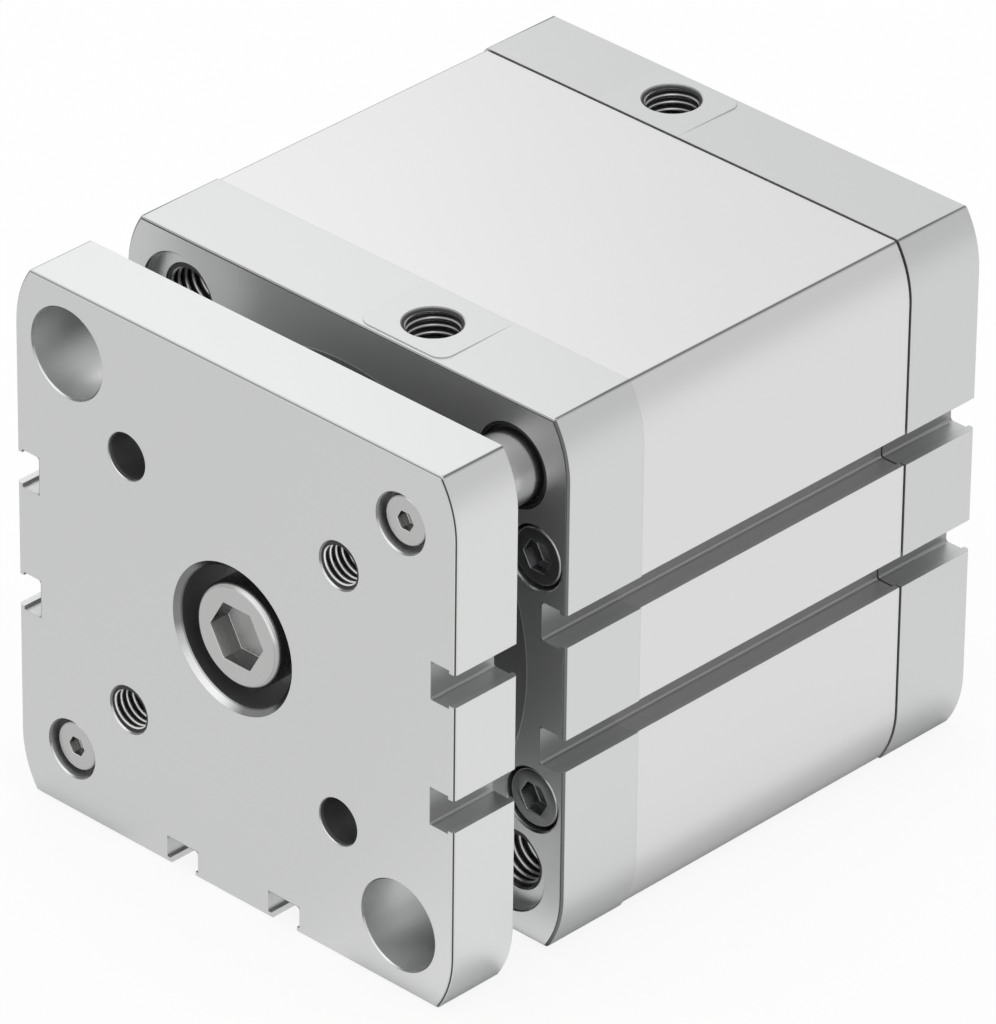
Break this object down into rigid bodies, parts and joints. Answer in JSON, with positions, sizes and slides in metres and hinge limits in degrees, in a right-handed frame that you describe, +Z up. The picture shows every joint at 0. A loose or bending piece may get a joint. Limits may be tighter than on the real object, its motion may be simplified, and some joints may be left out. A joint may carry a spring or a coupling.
{
  "type": "guided pneumatic cylinder",
  "caption": "Compact double-acting pneumatic cylinder with a square body, and a notched yoke plate carried by its piston rod and guide rods.",
  "frame": {"origin": "centre of the rear mounting face, on the cylinder's axis", "axes": "+Z up, with the air ports on top; -Y the way the yoke plate moves out; X across the body"},
  "size_m": [0.0952, 0.1179, 0.0952],
  "materials": {
    "barrel_aluminium": "satin anodised extrusion",
    "cap_aluminium": "satin, finely machined",
    "plate_aluminium": "satin, finely blasted",
    "bright_steel": "zinc plated, bright",
    "black_steel": "black oxide, slightly oily",
    "ground_steel": "ground and hard chromed",
    "bearing_bronze": "sintered bronze",
    "seal_rubber": "matt black",
    "cushion_rubber": "polyurethane, matt dark grey",
    "magnet_plastic": "plastic-bonded ferrite",
    "wear_plastic": "filled plastic, natural colour"
  },
  "bodies": {
    "cylinder_body": {"barrel": "barrel_aluminium", "front_cap": "cap_aluminium", "rear_cap": "cap_aluminium", "rear_gasket": "seal_rubber", "front_cap_screws": "black_steel", "rear_cap_screws": "black_steel", "front_barrel_seal": "seal_rubber", "rod_seal": "seal_rubber", "rod_bush": "bearing_bronze", "guide_bush_upper": "bearing_bronze", "guide_bush_lower": "bearing_bronze", "guide_wiper_upper": "seal_rubber", "guide_wiper_lower": "seal_rubber", "front_cushion_ring": "cushion_rubber", "rear_cushion_ring": "cushion_rubber"},
    "yoke": {"yoke_plate": "plate_aluminium", "yoke_centre_screw": "bright_steel", "guide_rod_screws": "bright_steel", "guide_rod_upper": "ground_steel", "guide_rod_lower": "ground_steel", "piston_rod": "ground_steel", "piston_front_half": "cap_aluminium", "piston_rear_half": "cap_aluminium", "piston_screw": "black_steel", "piston_magnet": "magnet_plastic", "piston_wear_ring": "wear_plastic", "piston_seal_front": "seal_rubber", "piston_seal_rear": "seal_rubber"}
  },
  "joints": [
    {"name": "stroke", "type": "slide", "parent": "cylinder_body", "child": "yoke", "axis": [0, -1, 0], "range_m": [0, 0.04]}
  ]
}
